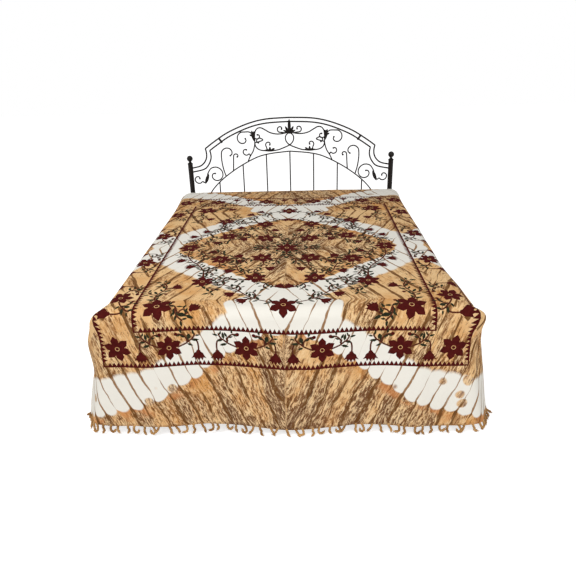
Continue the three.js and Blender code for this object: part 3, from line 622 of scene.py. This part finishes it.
def dyed_ground():
    """Cotton pleated slantwise, tied and dyed, then waxed and crackled: a rounded diamond of streaked tan
    within a white ring, and the same mirrored past the folds of the pleating, so that rays of white fingers
    run out to the margin."""
    made, tree, shader = material("tie-dyed cotton")
    m, mix, noisy = (functools.partial(node, tree) for node in (calc, blend, grain))
    ramp = functools.partial(remap, tree, curve="SMOOTHSTEP")
    cloth = add(tree, "UVMap", uv_map="Cloth").outputs[0]
    wander = add(tree, "TexNoise", {"Vector": cloth, "Scale": 7.0, "Detail": 3.0}).outputs["Color"]
    bent = add(tree, "VectorMath", {0: wander, 1: (0.036, 0.036, 0), 2: cloth}, operation="MULTIPLY_ADD")
    bent = add(tree, "VectorMath", {0: bent.outputs[0], 1: (0.018, 0.018, 0)}, operation="SUBTRACT")
    bent = bent.outputs[0]
    axes = add(tree, "SeparateXYZ", {0: bent})
    u, w = m("ABSOLUTE", axes.outputs[0]), m("ABSOLUTE", axes.outputs[1])
    # Past the fold along the cloth the pattern is mirrored, and also spreads a little.
    beyond = m("SUBTRACT", w, FOLD_ALONG)
    far = m("GREATER_THAN", beyond, m("MULTIPLY", m("MAXIMUM", m("SUBTRACT", u, FOLD_ACROSS), 0.0), 1.2))

    def either(near, past):
        return add(tree, "Mix", {0: far, 2: near, 3: past}).outputs[0]

    def mirrored(value):
        return m("SUBTRACT", FOLD_ACROSS, m("ABSOLUTE", m("SUBTRACT", value, FOLD_ACROSS)))

    folded_w = m("MULTIPLY_ADD", m("MULTIPLY", beyond, far), -2.1, w)
    folded_u = either(mirrored(u), m("MINIMUM", u, m("MULTIPLY_ADD", u, 0.35, 0.39)))
    diamond = m("ADD", m("POWER", m("DIVIDE", folded_u, 0.64), 1.2),
                m("POWER", m("DIVIDE", m("MAXIMUM", folded_w, 0.0), 0.565), 1.2))
    straight = m("MULTIPLY_ADD", m("MULTIPLY_ADD", folded_u, 0.81, folded_w), 2.0, -0.2)
    reach = either(diamond, straight)
    # Across and along the pleats.
    softened_u = m("SQRT", m("MULTIPLY_ADD", u, u, 0.00012))
    softened_w = m("SQRT", m("MULTIPLY_ADD", w, w, 0.0003))
    pleat_u = either(mirrored(softened_u), softened_u)
    pleat_w = either(m("MULTIPLY", softened_w, -0.42), m("MULTIPLY_ADD", w, 0.36, -0.538))
    across = m("MULTIPLY_ADD", pleat_u, 0.9, pleat_w)
    along = m("MULTIPLY_ADD", pleat_u, 0.42, m("MULTIPLY", folded_w, 0.9))
    counted = m("ADD", across, 2.0)
    pleat = m("PINGPONG", counted, PLEAT)
    lobe = m("SQRT", m("SINE", m("MULTIPLY", pleat, math.pi / 2 / PLEAT)))
    uneven = add(tree, "TexWhiteNoise", {1: m("FLOOR", m("MULTIPLY", counted, 0.5 / PLEAT))},
                 noise_dimensions="1D").outputs["Value"]
    inner = m("MULTIPLY_ADD", lobe, either(-0.025, -0.065), m("MULTIPLY_ADD", uneven, 0.05, -0.025))
    ring = m("MULTIPLY", ramp(m("SUBTRACT", reach, inner), 0.975, 1.0),
             ramp(m("MULTIPLY_ADD", lobe, -0.03, reach), 1.32, 1.37, (1.0, 0.0)))
    # A round of white at each end of the diamond.
    du, dw = m("DIVIDE", u, 0.27), m("DIVIDE", m("SUBTRACT", w, 0.745), 0.135)
    heart = m("SQRT", m("ADD", m("MULTIPLY", du, du), m("MULTIPLY", dw, dw)))
    white = m("MAXIMUM", ring, ramp(m("MULTIPLY_ADD", lobe, -0.12, heart), 0.85, 0.9, (1.0, 0.0)))
    spots = add(tree, "TexVoronoi", {"Vector": bent, "Scale": 8.5}).outputs["Distance"]
    white = m("MULTIPLY", white, m("SUBTRACT", 1.0, m("MULTIPLY", ramp(spots, 0.2, 0.26, (0.9, 0.0)),
                                                      m("GREATER_THAN", w, 1.1))))
    # Tan ground, more orange beside the white and in the margins.
    warm = m("ADD", ramp(m("ABSOLUTE", m("SUBTRACT", reach, 0.92)), 0.0, 0.16, (0.12, 0.0)),
             m("MULTIPLY", far, 0.1))
    tan = mix(ramp(m("ADD", noisy(cloth, 5.5, 5.0, 0.62), warm), 0.4, 0.78), "#E6BF8B", "#D19758")
    tan = mix(ramp(noisy(cloth, 60.0, 4.0, 0.7), 0.5, 0.75, (0.0, 0.5)), tan, "#B07D4A")
    # Brown streaks that follow the pleats, densest in the diamond and in its mirror at the margin. The four
    # quarters have streaks of their own, which meet at the folds.
    quarter = m("ADD", ramp(axes.outputs[0], -0.006, 0.006, (0.0, 4.3)),
                ramp(axes.outputs[1], -0.006, 0.006, (0.0, 9.1)))
    slanted = add(tree, "CombineXYZ", {0: m("MULTIPLY", across, 40.0), 1: m("MULTIPLY", along, 7.5),
                                       2: quarter}).outputs[0]
    streaks, veins = noisy(slanted, 0.8, 6.0, 0.75), noisy(slanted, 3.2, 6.0, 0.8)
    patches = ramp(noisy(slanted, 0.24), 0.35, 0.65, (-0.05, 0.05))
    core = ramp(reach, 0.1, 1.0, (0.115, 0.01))
    bark = m("MULTIPLY", ramp(reach, -0.4, 0.9, (0.13, 0.068)), ramp(beyond, -0.1, 0.25))
    dense = m("ADD", either(core, bark), patches)
    thick_streaks, thick_veins = m("ADD", streaks, dense), m("ADD", veins, dense)
    colour = mix(ramp(thick_streaks, 0.54, 0.6, (0.0, 0.6)), tan, "#97643A")
    colour = mix(ramp(m("SUBTRACT", veins, dense), 0.44, 0.36, (0.0, 0.6)), colour, "#EFD4A8")
    colour = mix(ramp(thick_veins, 0.57, 0.63, (0.0, 0.85)), colour, "#633D27")
    colour = mix(ramp(thick_streaks, 0.68, 0.74, (0.0, 0.75)), colour, "#563420")
    rust = m("MULTIPLY", ramp(m("ABSOLUTE", m("SUBTRACT", reach, 0.88)), 0.0, 0.14, (0.75, 0.0)),
             ramp(noisy(cloth, 9.0, 4.0), 0.48, 0.62))
    colour = mix(rust, colour, "#C88450")
    colour = mix(white, colour, "#EBE7DD")
    # The cracks between pleats: fine in the white, broad and mottled in the tan.
    breadth = ramp(noisy(slanted, 0.45, 2.0), 0.38, 0.62, (0.0, 0.009))
    breadth = m("MULTIPLY", breadth, m("MULTIPLY_ADD", white, -0.4, 1.0))
    crack = ramp(m("SUBTRACT", pleat, breadth), -0.0012, 0.0012, (1.0, 0.0))
    crack = m("MULTIPLY", crack, ramp(veins, 0.3, 0.5, (0.35, 0.95)))
    woven(tree, shader, cloth, mix(crack, colour, mix(white, "#6B4523", "#8E6438")))
    return made


def dyed(name, first, second):
    """Cotton block-printed in one colour, which takes a little unevenly."""
    made, tree, shader = material(name)
    cloth = add(tree, "UVMap", uv_map="Cloth").outputs[0]
    share = remap(tree, grain(tree, cloth, 45.0, 4.0, 0.65), 0.35, 0.7)
    woven(tree, shader, cloth, blend(tree, share, first, second))
    return made


def solid_material(name, first, second, roughness, shine, scales, bump):
    """A material that is grained between two colours along the object's axes, with its relief from the same
    grain."""
    made, tree, shader = material(name)
    place = add(tree, "TexCoord").outputs["Object"]
    stretched = add(tree, "VectorMath", {0: place, 1: scales}, operation="MULTIPLY").outputs[0]
    fibre = grain(tree, stretched, 1.0, 4.0)
    feed(shader, {"Base Color": blend(tree, remap(tree, fibre, 0.35, 0.65), first, second),
                  "Roughness": remap(tree, fibre, 0.0, 1.0, (roughness - 0.07, roughness + 0.07)),
                  "Normal": relief(tree, fibre, 0.5, bump), "Specular IOR Level": shine})
    return made


def ticking():
    """Mattress ticking, a close cotton twill: cream with narrow grey-blue stripes, woven lengthwise."""
    made, tree, shader = material("mattress ticking")
    place = add(tree, "TexCoord").outputs["Object"]
    axes = add(tree, "SeparateXYZ", {0: place})
    bands = calc(tree, "PINGPONG", calc(tree, "ADD", axes.outputs[0], axes.outputs[1]), 0.015)
    cream = blend(tree, grain(tree, place, 30.0, 4.0, 0.5), "#EFEBDF", "#DDD6C4")
    stripe = remap(tree, bands, 0.0016, 0.0022, (0.75, 0.0))
    feed(shader, {"Base Color": blend(tree, stripe, cream, "#8C97A3"),
                  "Normal": relief(tree, grain(tree, place, 400.0, 2.0, 0.5), 0.3, 0.0005),
                  "Roughness": 0.9, "Specular IOR Level": 0.1})
    return made


DYES = [dyed_ground(), dyed("maroon dye", "#42100F", "#551915"), dyed("brown dye", "#4A2218", "#5E3222"),
        dyed("green-black dye", "#22251A", "#343623"), dyed("straw dye", "#D9B27C", "#CDA066")]
# Cotton yarn, twisted and knotted by hand from the ends of the warp: dyed with the cloth, so tan to brown.
TWIST = solid_material("twisted cotton", "#C79C66", "#8E6439", 0.92, 0.1, (22, 22, 30), 0.0006)
TICKING = ticking()
# Wrought iron, forged and painted brown-black: a satin skin, slightly uneven from the hammer, never bare
# metal.
IRON = solid_material("painted wrought iron", "#1A120E", "#0D0907", 0.5, 0.2, (90, 90, 90), 0.0006)
# Pine, planed and left raw: pale, with its grain along each slat.
PINE = solid_material("planed pine", "#D8B27C", "#B88A55", 0.6, 0.4, (2.5, 70, 70), 0.0004)

# ---------------------------------------------------------------- the bedspread
spread = piece("bedspread_cloth", bedspread(), DYES[GROUND], "batik", "bedspread")
for dye in DYES[1:]:
    spread.data.materials.append(dye)
skin = spread.modifiers.new("thickness", "SOLIDIFY")
skin.thickness = CLOTH_THICKNESS
skin.offset = 0.0
skin.use_even_offset = False

# ---------------------------------------------------------------- the headboard
# Drawn in its own plane: x out from the middle of the bed, z up from the top of the cloth, in millimetres.
HEADBOARD_Y = 1.085
POST_X = 0.765
RAIL_ROD, PILLOW_ROD, SCROLL_ROD = 0.0055, 0.0047, 0.0048
COLLAR_ROD, CROSS_RAIL_ROD, LOW_RAIL_ROD, TIP_BALL = 0.008, 0.009, 0.012, 0.007
OUTER_ARCH = [(0, 529), (174, 521), (310, 491), (456, 433), (560, 371), (640, 315)]
OUTER_SWEEP = [(640, 315), (634, 285), (636, 248), (654, 212), (690, 184), (748, 171)]
INNER_ARCH = [(0, 500), (170, 492), (300, 464), (446, 404), (540, 346), (607, 300)]
INNER_SWEEP = [(607, 300), (601, 272), (603, 238), (622, 196), (660, 160), (748, 140)]
COLLAR = [(535, 394), (508, 356)]
PILLOW_ARCH = [(0, 283), (153, 267), (261, 238), (400, 166), (520, 82), (600, 5), (650, -70)]
# Scrolls: the points that lead in, the centre, start angle and turn in degrees, and the wide and the tight
# radius.
POST_SCROLLS = [([(652, 66), (668, 56)], (709, 84), 215, 300, 34, 9),
                ([(640, 112)], (574, 114), 15, 415, 62, 12)]
SIDE_SCROLLS = [([(497, 106), (512, 160), (520, 215)], (470, 270), -10, 225, 52, 20)]
INNER_SCROLLS = [([(436, 146), (432, 200)], (408, 252), -5, 215, 21, 8)]
CROWN_SCROLLS = [
    ([(276, 412), (300, 430)], (346, 382), 105, -285, 51, 14), ([(300, 254)], (330, 288), 222, 235, 29, 12),
    ([(264, 384)], (243, 400), 270, -160, 22, 9), ([(261, 350)], (229, 358), 160, -215, 28, 10),
    ([(170, 297)], (158, 334), -40, 225, 24, 8), ([(30, 418), (52, 422)], (66, 446), -60, 235, 24, 8)]
STRANDS = [
    [(262, 396), (257, 430), (240, 454), (213, 459), (182, 444), (145, 423), (100, 412), (55, 413), (4, 424)],
    [(263, 352), (256, 322), (236, 302), (205, 292), (152, 290), (98, 293), (50, 308), (0, 330), (-25, 356),
     (-31, 384), (-24, 404), (-4, 420)]]
STEM = [(262, 360), (265, 330), (278, 288), (303, 248), (322, 206)]
# Leaves: middle, half length, half width, and the angle that they point at.
POST_LEAVES = [((645, 85), 44, 13, 112)]
CROWN_LEAVES = [((272, 398), 46, 13, 76), ((268, 424), 18, 8, 140), ((284, 404), 18, 8, 20),
                ((152, 292), 52, 10, 0), ((150, 304), 17, 8, 90), ((128, 300), 18, 7, 150)]
MIDDLE_LEAVES = [((0, 466), 56, 12, 90), ((18, 442), 30, 9, 62), ((-18, 442), 30, 9, 118),
                 ((24, 428), 26, 8, 25), ((-24, 428), 26, 8, 155), ((0, 420), 22, 9, 0)]


def on_board(point, side=1, front=0.0):
    return Vector((side * point[0] / 1000, HEADBOARD_Y - front, BED_TOP + point[1] / 1000))


def scroll(lead, centre, start, turn, wide, tight):
    spiral = []
    count = math.ceil(abs(turn) / 42)
    for i in range(count + 1):
        t = i / count
        radius = wide + (tight - wide) * t ** 2
        angle = math.radians(start + turn * t)
        spiral.append(around(centre, radius, angle))
    return lead + spiral


def iron_lines(lists, radius, side):
    """Rods through lists of headboard points."""
    return [(smooth([on_board(p, side) for p in points], 6), radius) for points in lists]


def add_ball(bm, place, radius):
    bmesh.ops.create_uvsphere(bm, u_segments=12, v_segments=8, radius=radius,
                              matrix=Matrix.Translation(place))


def add_leaf(bm, centre, long, wide, angle, side=1, front=0.0):
    """A forged leaf: pointed at both ends, ribbed down its middle and hollow behind."""
    leaf = bmesh.new()
    bmesh.ops.create_grid(leaf, x_segments=4, y_segments=8, size=1.0)
    for vert in leaf.verts:
        across, along = vert.co.x, vert.co.y
        width = wide / 1000 * math.cos(along * math.pi / 2) ** 0.7 if abs(along) < 1 else 0
        bowl = 0.0045 * (abs(across) ** 1.3 - 0.5) - 0.004 * along * along
        vert.co = (across * width, bowl, along * long / 1000)
    bmesh.ops.remove_doubles(leaf, verts=leaf.verts, dist=1e-5)
    bmesh.ops.solidify(leaf, geom=leaf.faces[:], thickness=0.0028)
    bmesh.ops.recalc_face_normals(leaf, faces=leaf.faces)
    tilt = 90 - angle if side > 0 else angle - 90
    turn = Matrix.Translation(on_board(centre, side, front)) @ Matrix.Rotation(math.radians(tilt), 4, "Y")
    bmesh.ops.transform(leaf, matrix=turn, verts=leaf.verts)
    merge(bm, leaf)


def scrollwork(scrolls, strands, leaves, sides):
    lines, tips = [], []
    for side in sides:
        for item in scrolls:
            points = smooth([on_board(p, side) for p in scroll(*item)], 5)
            lines.append((points, SCROLL_ROD))
            tips.append(points[-1])
        lines += iron_lines(strands, SCROLL_ROD, side)
    bm = rods("scrolls", lines)
    for tip in tips:
        add_ball(bm, tip, TIP_BALL)
    for side in sides:
        for item in leaves:
            add_leaf(bm, *item, side=side)
    return bm


for word, side in SIDES:
    arches = rods("arches", iron_lines([OUTER_ARCH, OUTER_SWEEP, INNER_ARCH, INNER_SWEEP], RAIL_ROD, side)
                  + iron_lines([PILLOW_ARCH], PILLOW_ROD, side)
                  + iron_lines([COLLAR], COLLAR_ROD, side), sides=4)
    piece(f"arches_{word}", arches, IRON, "iron", f"outer_arch_{word}", f"inner_arch_{word}",
          f"pillow_arch_{word}", f"arch_collar_{word}")
    piece(f"post_scrolls_{word}", scrollwork(POST_SCROLLS, [], POST_LEAVES, [side]), IRON, "iron",
          f"scroll_post_{word}")
    piece(f"side_scrolls_{word}", scrollwork(SIDE_SCROLLS + INNER_SCROLLS, [], [], [side]), IRON, "iron",
          f"scroll_side_{word}", f"scroll_inner_{word}")
crown = scrollwork(CROWN_SCROLLS, STRANDS, CROWN_LEAVES, [-1, 1])
for item in MIDDLE_LEAVES:
    add_leaf(crown, *item, front=0.006 if item[1] > 50 else 0.0)
merge(crown, rods("stems", iron_lines([STEM], SCROLL_ROD, -1) + iron_lines([STEM], SCROLL_ROD, 1)))
piece("crown_scrolls", crown, IRON, "iron", "scroll_crown")

# Posts with ball finials, and the straight rails and spindles between them.
POST_RADIUS, POST_TOP, LEG_RADIUS = 0.0185, BED_TOP + 0.208, 0.017
FINIAL = [(0.0, -0.003), (0.0105, -0.003), (0.0135, 0.001), (0.0135, 0.004), (0.009, 0.007), (0.0085, 0.0115),
          (0.0125, 0.0135), (0.0125, 0.016)] + [
    (0.0225 * math.sin(math.radians(turn)), 0.034 - 0.0225 * math.cos(math.radians(turn)))
    for turn in range(38, 181, 13)] + [(0.0, 0.0565)]
for word, side in SIDES:
    foot = Vector((side * POST_X, HEADBOARD_Y, 0))
    post = turned([(0, 0.0005), (0.0145, 0.0005), (POST_RADIUS, 0.003), (POST_RADIUS, POST_TOP - 0.009),
                   (0.02, POST_TOP - 0.0085), (0.0205, POST_TOP - 0.005), (0.02, POST_TOP - 0.0015),
                   (0.018, POST_TOP), (0, POST_TOP)], foot)
    piece(f"post_{word}", post, IRON, "iron", f"head_post_{word}")
    piece(f"finial_ball_{word}", turned(FINIAL, foot + Vector((0, 0, POST_TOP + 0.0005))), IRON, "iron",
          f"finial_{word}")


def bar(name, start, end, radius, *nodes):
    """A straight round bar of the bed."""
    piece(name, rods(name, [([Vector(start), Vector(end)], radius)], sides=8), IRON, "iron", *nodes)


def arch_height(place):
    """Height of the pillow arch above a place along it, from the top of the bed."""
    at = next(i for i, point in enumerate(PILLOW_ARCH) if point[0] > place)
    (x0, z0), (x1, z1) = PILLOW_ARCH[at - 1], PILLOW_ARCH[at]
    return (z0 + (z1 - z0) * (place - x0) / (x1 - x0)) / 1000


HEAD_RAIL_Z = BED_TOP - 0.075
RAIL_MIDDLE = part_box("foot_rail")[0][2] + 0.012
between = POST_X - POST_RADIUS + 0.001
for name, height, radius, node in (("head_rail_top", HEAD_RAIL_Z, CROSS_RAIL_ROD, "head_rail_upper"),
                                   ("head_rail_low", RAIL_MIDDLE, LOW_RAIL_ROD, "head_rail_lower")):
    bar(name, (-between, HEADBOARD_Y, height), (between, HEADBOARD_Y, height), radius, node)
SPINDLES = (179, 360, 548)        # out from the middle
for name, place, side in [("middle", 0, 1)] + [
        (f"{word}_{i + 1}", place, side) for word, side in SIDES for i, place in enumerate(SPINDLES)]:
    x = side * place / 1000
    bar(f"upright_{name}", (x, HEADBOARD_Y, HEAD_RAIL_Z + 0.006),
        (x, HEADBOARD_Y, BED_TOP + arch_height(place)), SCROLL_ROD, f"spindle_{name}")

# ---------------------------------------------------------------- legs, rails, slats and mattress
leg_x, leg_y = MATTRESS_HALF[0] - 0.040, -(MATTRESS_HALF[1] - 0.060)
rail_top = RAIL_MIDDLE + 0.025
for word, side in SIDES:
    leg = turned([(0, 0.0005), (0.0145, 0.0005), (LEG_RADIUS, 0.003), (LEG_RADIUS, rail_top - 0.002),
                  (0.0155, rail_top - 0.0005), (0, rail_top - 0.0005)], (side * leg_x, leg_y, 0))
    piece(f"leg_{word}", leg, IRON, "iron", f"foot_leg_{word}")
bar("foot_bar", (-leg_x + 0.016, leg_y, RAIL_MIDDLE), (leg_x - 0.016, leg_y, RAIL_MIDDLE), LOW_RAIL_ROD,
    "foot_rail")


def rebuilt(node, rounding, segments, stuff, slot):
    """A board or a box tube in place of a CAD box, with all its edges rounded."""
    low, high = (Vector(corner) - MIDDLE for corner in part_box(node))
    bm = block(high - low)
    round_edges(bm, bm.edges[:], rounding, segments)
    bmesh.ops.translate(bm, verts=bm.verts, vec=(low + high) / 2)
    piece(f"{node}_finished", bm, stuff, slot, node)


for word in ("left", "right"):
    rebuilt(f"side_rail_{word}", 0.0035, 3, IRON, "iron")
for i in range(9):
    rebuilt(f"slat_{i + 1}", 0.0025, 2, PINE, "pine")


def mattress():
    """A mattress, rounded, with piping along both edges of its border."""
    low, high = (Vector(corner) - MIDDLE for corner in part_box("mattress"))
    size = high - low
    edge, corner = 0.035, 0.070
    bm = block(size)
    upright = [e for e in bm.edges if abs(e.verts[0].co.z - e.verts[1].co.z) > 0.01]
    round_edges(bm, upright, corner, 10)
    rims = [e for e in bm.edges if abs(e.verts[0].co.z - e.verts[1].co.z) < 0.01]
    round_edges(bm, rims, edge, 6)
    inset = edge * (1 - math.sqrt(0.5))
    loop = []
    for sx, sy, start in ((1, 1, 0), (-1, 1, 90), (-1, -1, 180), (1, -1, 270)):
        for step in range(9):
            turn = math.radians(start + step * 90 / 8)
            loop.append((sx * (size.x / 2 - corner) + (corner - inset) * math.cos(turn),
                         sy * (size.y / 2 - corner) + (corner - inset) * math.sin(turn)))
    loop += loop[:1]
    for z in (size.z / 2 - inset, inset - size.z / 2):
        merge(bm, rods("piping", [([Vector((x, y, z)) for x, y in loop], 0.0042)], sides=4))
    bmesh.ops.translate(bm, verts=bm.verts, vec=(low + high) / 2)
    return bm


piece("mattress_finished", mattress(), TICKING, "ticking", "mattress")

# ---------------------------------------------------------------- fringes
TASSEL_PITCH, TWIST_RADIUS, STRAND, TWIST_LENGTH, KNOT = 0.040, 0.0029, 0.0036, 0.018, 0.0068
HEADING_RADIUS, HEADING_STRAND, HEADING_STEPS = 0.0016, 0.0017, 260
# Tassels as they fall from the hem: sideways, down and outwards in millimetres at points along each.
TASSELS = [
    [(2, 14, 2), (-1, 28, 3), (3, 42, 3)],
    [(4, 14, 3), (5, 28, 5), (-1, 38, 6), (-10, 41, 5)],
    [(-4, 14, 2), (-10, 26, 3), (-18, 37, 3)],
    [(-5, 13, 4), (-4, 27, 6), (3, 38, 6), (13, 38, 5), (17, 30, 5)],
    [(5, 14, 3), (12, 26, 4), (15, 41, 3)],
    [(8, 15, 3), (12, 29, 5), (5, 41, 6), (-5, 38, 7), (-7, 28, 8)],
    [(-3, 15, 3), (3, 30, 4), (-3, 44, 2)],
    [(1, 12, 3), (7, 24, 4), (5, 36, 4), (9, 46, 3)],
]


def hem_normal(u, w):
    step = 0.004
    across, along = drape(u + step, w) - drape(u - step, w), drape(u, w + step) - drape(u, w - step)
    return across.cross(along).normalized()


def twisted(line, radius, strand):
    """Two strands twisted together along a line of points."""
    lengths = [0.0]
    for a, b in zip(line, line[1:]):
        lengths.append(lengths[-1] + (b - a).length)
    strands = []
    for turn in (0, math.pi):
        points = []
        for i, point in enumerate(line):
            along = way_at(line, i)
            across = along.cross(Vector((0.2, 0.9, 0.4))).normalized()
            phase = turn + 2 * math.pi * lengths[i] / TWIST_LENGTH
            points.append(point + radius * (across * math.cos(phase) + along.cross(across) * math.sin(phase)))
        strands.append((points, strand))
    return strands


def fringe(end):
    """Twisted and knotted tassels along an end of the cloth, under a corded heading."""
    count = math.floor(CLOTH_WIDTH / TASSEL_PITCH)
    hem = end * CLOTH_LENGTH / 2
    thread = []
    for k in range(count):
        fall = TASSELS[(k * 5 + (3 if end > 0 else 0) + k // 9) % len(TASSELS)]
        middle = (k - (count - 1) / 2) * TASSEL_PITCH + 0.006 * math.sin(3.7 * k)
        long = (1.0 + 0.16 * math.sin(5.3 * k)) * (1 if end < 0 else 0.8)

        def place(aside, down, out):
            u = min(max(middle + aside / 1000, -CLOTH_WIDTH / 2), CLOTH_WIDTH / 2)
            w = hem + end * (down * long / 1000 - 0.002)
            point = drape(u, w) + hem_normal(u, w) * out / 1000
            point.z = max(point.z, 0.0085)
            return point

        line = smooth([place(*p) for p in [(0, 0, 0)] + fall], 9)
        thread += twisted(line, TWIST_RADIUS, STRAND)
        tip, before = line[-1], line[-3]
        away = (tip - before).normalized()
        for spot in (line[1], tip):
            thread.append(([spot + away * KNOT * step for step in (-1, -0.7, 0, 0.7, 1)],
                           [KNOT * share for share in (0.3, 0.75, 1, 0.75, 0.3)]))
        for i in range(5):
            lean = Vector((math.sin(2.1 * i + k), math.cos(3.3 * i + k), math.sin(1.3 * i + 2 * k))) * 0.0045
            ends = [tip, tip + away * 0.006 + lean * 0.5, tip + away * 0.012 + lean]
            for point in ends:
                point.z = max(point.z, 0.0025)
            thread.append((ends, [0.0014, 0.0012, 0.0006]))
    heading = [drape(CLOTH_WIDTH * (0.999 * i / HEADING_STEPS - 0.4995), hem + end * 0.0015)
               for i in range(HEADING_STEPS + 1)]
    return rods("fringe", thread + twisted(heading, HEADING_RADIUS, HEADING_STRAND), sides=1)


piece("foot_tassels", fringe(-1), TWIST, "fringe", "foot_fringe")
piece("head_tassels", fringe(1), TWIST, "fringe", "head_fringe")

# ---------------------------------------------------------------- floor, light and camera
def in_sight(tree):
    """1 where the camera sees a thing, also in a gloss, and 0 for the light that it throws."""
    sight = add(tree, "LightPath")
    return calc(tree, "MAXIMUM", sight.outputs["Is Camera Ray"], sight.outputs["Is Glossy Ray"])


floor_bm = bmesh.new()
bmesh.ops.create_grid(floor_bm, x_segments=1, y_segments=1, size=12.0)
floor_mesh = bpy.data.meshes.new("floor")
floor_bm.to_mesh(floor_mesh)
floor_bm.free()
floor = placed("floor", floor_mesh)
WHITE = (1, 1, 1, 1)
white_floor, tree, shader = material("white floor")
feed(shader, {"Base Color": linear("#F4F4F4"), "Roughness": 0.9, "Emission Color": WHITE,
              "Emission Strength": calc(tree, "MULTIPLY", in_sight(tree), 0.62)})
floor.data.materials.append(white_floor)

scene = bpy.context.scene
scene.world = bpy.data.worlds.new("white room")
scene.world.use_nodes = True
tree = scene.world.node_tree
strength = remap(tree, in_sight(tree), 0.0, 1.0, (0.5, 1.0))
feed(tree.nodes["Background"], {"Color": WHITE, "Strength": strength})

LIT_PLACE = Vector((0, -0.4, 0.5))
LAMP_SIZE = 2.4
for name, place, energy in (("window", (-1.8, -2.6, 4.4), 108), ("fill", (1.6, -4.2, 1.7), 36)):
    lamp = bpy.data.lights.new(name, "AREA")
    lamp.energy = energy
    lamp.size = LAMP_SIZE
    holder = placed(name, lamp)
    holder.location = place
    holder.rotation_euler = (LIT_PLACE - Vector(place)).to_track_quat("-Z", "Y").to_euler()

CAMERA_PLACE = Vector((0.091, -3.175, BED_TOP + 1.057))
LOOK_LEFT, LOOK_DOWN, ROLL = 1.79, 24.12, -1.57     # degrees
lens = bpy.data.cameras.new("camera")
lens.sensor_width = 36.0
lens.lens = 34.74
camera = placed("camera", lens)
camera.matrix_world = (
    Matrix.Translation(CAMERA_PLACE + MIDDLE) @ Matrix.Rotation(math.radians(LOOK_LEFT), 4, "Z")
    @ Matrix.Rotation(math.radians(90 - LOOK_DOWN), 4, "X") @ Matrix.Rotation(math.radians(ROLL), 4, "Z"))
scene.camera = camera
scene.view_settings.view_transform = "Standard"
